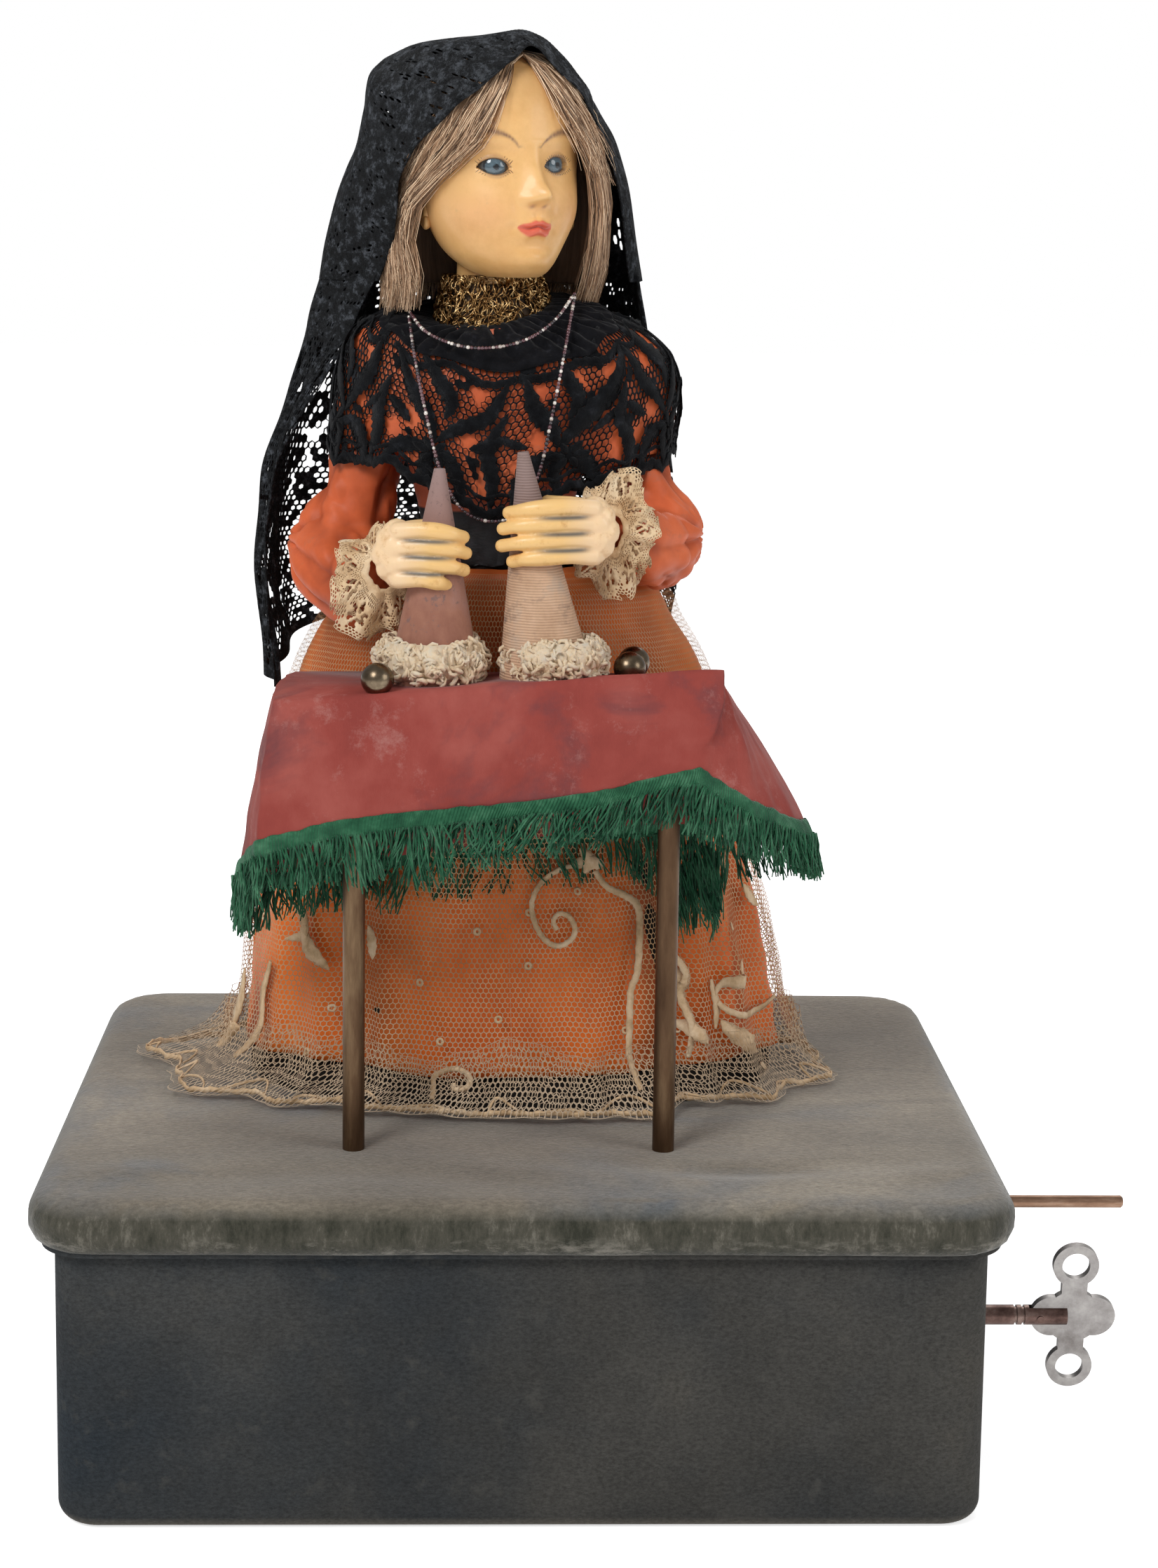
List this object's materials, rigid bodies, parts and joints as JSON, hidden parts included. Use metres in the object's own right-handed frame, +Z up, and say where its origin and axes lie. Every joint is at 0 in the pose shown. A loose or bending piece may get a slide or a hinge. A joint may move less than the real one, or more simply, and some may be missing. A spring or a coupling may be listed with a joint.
{
  "type": "clockwork conjurer automaton",
  "caption": "Key-wound clockwork figure of a veiled conjurer who lifts cones from a cloth-covered table, on a velvet-covered box with a start rod.",
  "frame": {"origin": "centre of the box's underside", "axes": "+X to the right as seen from the front, towards the key; +Y to the back; +Z up"},
  "size_m": [0.3447, 0.2354, 0.4466],
  "materials": {
    "beads": "small glass beads",
    "beige_rib": "ribbed cloth over card",
    "black_lace": "cotton lace",
    "box_velvet": "worn cotton velvet",
    "brass": "dull, brown patina",
    "bronze": "dark, polished by handling",
    "carton": null,
    "cream_lace": "cotton lace",
    "glass_eye": "blown glass",
    "gold_thread": "tangled metal thread",
    "green_trim": "braid with thread fringe",
    "lid_velvet": "worn cotton velvet over wadding",
    "mauve_paper": "cloth-covered card",
    "mohair": "combed mohair",
    "net": "cotton net with applied lace",
    "painted_skin": "painted carton",
    "red_cloth": "dusty plain cotton",
    "satin": "faded orange satin",
    "shank_steel": "browned",
    "steel": "dull grey",
    "wadding": "stuffing",
    "wood": "plain deal",
    "wool": "curled wool"
  },
  "bodies": {
    "stand": {"box_front": "box_velvet", "box_back": "box_velvet", "box_left": "box_velvet", "box_right": "box_velvet", "base_board": "wood", "lid_board": "wood", "lid_cover": "lid_velvet", "motor_frame": "brass", "camshaft_bracket": "brass", "table_leg_left": "brass", "table_leg_right": "brass", "table_tray": "wood", "table_balls": "bronze", "tablecloth": "red_cloth", "cloth_fringe": "green_trim", "lower_body_form": "wadding", "underskirt": "satin", "net_overskirt": "net", "torso_form": "carton", "bodice": "satin", "upper_sleeve_left": "satin", "upper_sleeve_right": "satin", "elbow_link_left": "wood", "elbow_link_right": "wood", "lace_cape": "black_lace", "neck_ruche": "black_lace", "gold_collar": "gold_thread", "bead_strands": "beads", "veil_fall": "black_lace"},
    "key": {"key_bow": "steel", "key_shank": "shank_steel", "winding_arbor": "steel"},
    "barrel": {"spring_barrel": "brass", "great_wheel": "brass"},
    "second_arbor": {"second_arbor": "brass"},
    "camshaft": {"camshaft": "steel", "cam_wheel": "brass", "cams": "wood"},
    "fly": {"fly": "brass"},
    "start_stop_rod": {"start_stop_rod": "brass"},
    "spindle": {"head_spindle": "steel"},
    "head": {"head": "painted_skin", "eyes": "glass_eye", "wig": "mohair", "veil_hood": "black_lace"},
    "left_arm": {"forearm_sleeve_left": "satin", "lace_cuff_left": "cream_lace", "hand_left": "painted_skin", "cone_left": "mauve_paper", "cone_ruff_left": "wool"},
    "right_arm": {"forearm_sleeve_right": "satin", "lace_cuff_right": "cream_lace", "hand_right": "painted_skin", "cone_right": "beige_rib", "cone_ruff_right": "wool"},
    "left_trick": {"trick_left": "brass"},
    "right_trick": {"trick_right": "brass"}
  },
  "joints": [
    {"name": "key_turn", "type": "hinge", "parent": "stand", "child": "key", "pos_m": [0.14, -0.025, 0.0345], "axis": [1, 0, 0], "continuous": true},
    {"name": "barrel_turn", "type": "hinge", "parent": "stand", "child": "barrel", "pos_m": [0.1, -0.025, 0.0345], "axis": [1, 0, 0], "continuous": true},
    {"name": "second_arbor_turn", "type": "hinge", "parent": "stand", "child": "second_arbor", "pos_m": [0.1, 0.007, 0.0345], "axis": [1, 0, 0], "continuous": true},
    {"name": "cam_turn", "type": "hinge", "parent": "stand", "child": "camshaft", "pos_m": [0.1, 0.0495, 0.0345], "axis": [1, 0, 0], "continuous": true},
    {"name": "fly_turn", "type": "hinge", "parent": "stand", "child": "fly", "pos_m": [0.1, 0.019, 0.05528], "axis": [1, 0, 0], "continuous": true},
    {"name": "start_stop_slide", "type": "slide", "parent": "stand", "child": "start_stop_rod", "axis": [1, 0, 0], "range_m": [-0.004, 0.004]},
    {"name": "head_turn", "type": "hinge", "parent": "stand", "child": "spindle", "pos_m": [-0.011, 0, 0.3], "axis": [0, 0, 1], "range_deg": [-50, 10]},
    {"name": "head_nod", "type": "hinge", "parent": "spindle", "child": "head", "pos_m": [-0.011, 0, 0.364], "axis": [0.891, 0.454, 0], "range_deg": [-5, 7]},
    {"name": "left_arm_lift", "type": "hinge", "parent": "stand", "child": "left_arm", "pos_m": [-0.0555, -0.008, 0.287], "axis": [-1, 0, 0], "range_deg": [0, 20]},
    {"name": "right_arm_lift", "type": "hinge", "parent": "stand", "child": "right_arm", "pos_m": [0.037, -0.008, 0.289], "axis": [-1, 0, 0], "range_deg": [0, 20]},
    {"name": "left_trick_lift", "type": "slide", "parent": "stand", "child": "left_trick", "axis": [0, 0, 1], "range_m": [0, 0.007]},
    {"name": "right_trick_lift", "type": "slide", "parent": "stand", "child": "right_trick", "axis": [0, 0, 1], "range_m": [0, 0.007]}
  ],
  "couplings": [
    {"joint": "barrel_turn", "follows": "second_arbor_turn", "ratio": -0.23077},
    {"joint": "cam_turn", "follows": "second_arbor_turn", "ratio": -0.88889},
    {"joint": "fly_turn", "follows": "second_arbor_turn", "ratio": -5}
  ]
}
